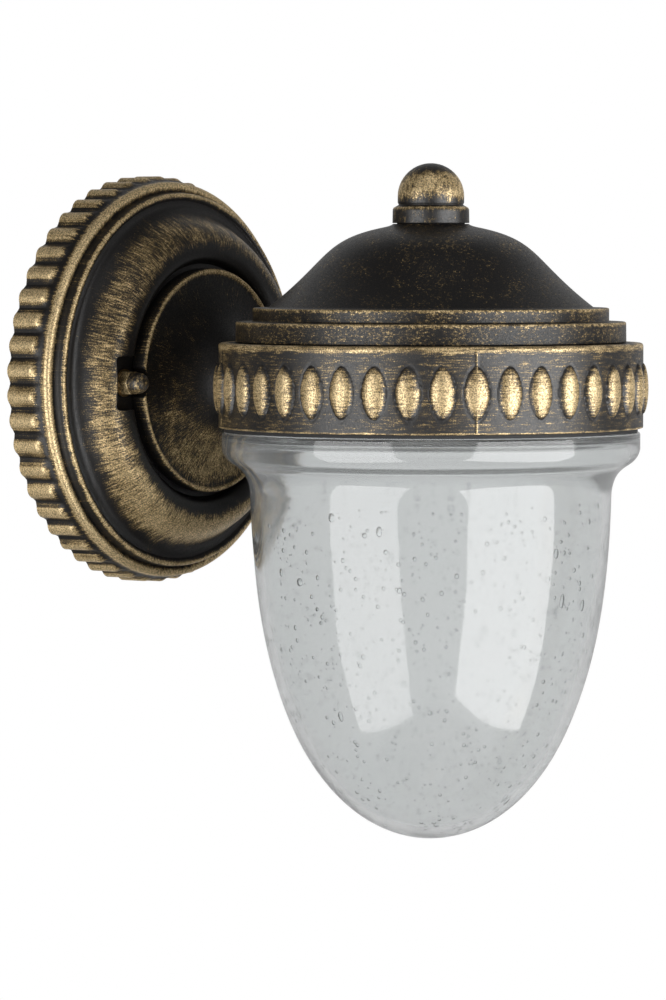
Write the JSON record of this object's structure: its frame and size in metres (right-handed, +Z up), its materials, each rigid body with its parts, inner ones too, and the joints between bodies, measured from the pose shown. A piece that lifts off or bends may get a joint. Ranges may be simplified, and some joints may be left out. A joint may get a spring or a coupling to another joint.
{
  "type": "outdoor wall lantern",
  "caption": "Outdoor wall lantern with a fluted round wall plate, flared arm, beaded gallery, domed lid with ball finial and closed seeded-glass acorn shade.",
  "frame": {"origin": "centre of the wall plate's back, on the wall's surface, at the arm's axis", "axes": "+Z up, +Y into the wall, -Y out into the room or street, +X to the right of someone facing the wall"},
  "size_m": [0.154, 0.21, 0.2393],
  "materials": {
    "cast_bronze": "matt charcoal paint with antique-gold dry brushing on raised edges",
    "aged_brass": "painted over with the dark and gold finish of the plate",
    "zinc_steel": "zinc plated",
    "brass": "plain",
    "rubber": "matt",
    "porcelain": "glazed",
    "lead_brown": "sleeved",
    "lead_blue": "sleeved",
    "lead_green": "sleeved",
    "seeded_glass": "clear with seeds and slight waves"
  },
  "bodies": {
    "wall_unit": {"wall_bracket": "zinc_steel", "bracket_studs": "zinc_steel", "earth_screw": "brass", "cable_grommet": "rubber", "wall_gasket": "rubber", "back_plate": "cast_bronze", "nut_washers": "rubber", "dome_nuts": "aged_brass", "arm": "cast_bronze", "arm_screws": "zinc_steel", "terminal_block": "porcelain", "terminal_screws": "zinc_steel", "arm_nipple": "brass", "nipple_nuts": "brass", "nipple_washer": "zinc_steel", "gallery": "cast_bronze", "bridge": "zinc_steel", "bridge_screws": "zinc_steel", "finial_pillar": "zinc_steel", "lampholder_body": "porcelain", "lampholder_shell": "brass", "lampholder_screws": "zinc_steel", "lead_live": "lead_brown", "lead_neutral": "lead_blue", "lead_earth": "lead_green", "earth_tag": "brass"},
    "lid": {"lid": "cast_bronze", "lid_gasket": "rubber"},
    "finial": {"finial": "cast_bronze", "finial_stud": "zinc_steel", "finial_washer": "rubber", "stud_clip": "zinc_steel"},
    "glass_gasket": {"glass_gasket": "rubber"},
    "glass": {"glass_shade": "seeded_glass"},
    "socket_contact": {"lampholder_contact": "brass"}
  },
  "joints": [
    {"name": "lid_lift", "type": "slide", "parent": "wall_unit", "child": "lid", "axis": [0, 0, 1], "range_m": [0, 0.01]},
    {"name": "finial_turn", "type": "hinge", "parent": "lid", "child": "finial", "pos_m": [0, -0.133, 0.066], "axis": [0, 0, 1], "range_deg": [0, 2880]},
    {"name": "glass_drop", "type": "slide", "parent": "wall_unit", "child": "glass_gasket", "axis": [0, 0, -1], "range_m": [0, 0.0075]},
    {"name": "glass_turn", "type": "hinge", "parent": "glass_gasket", "child": "glass", "pos_m": [0, -0.133, -0.08], "axis": [0, 0, -1], "range_deg": [0, 900]},
    {"name": "contact_press", "type": "slide", "parent": "wall_unit", "child": "socket_contact", "axis": [0, 0, 1], "range_m": [0, 0.0012], "stiffness_N_per_m": 1500}
  ],
  "couplings": [
    {"joint": "finial_turn", "follows": "lid_lift", "rad_per_m": 5026.5},
    {"joint": "glass_drop", "follows": "glass_turn", "m_per_rad": 0.00047746}
  ]
}
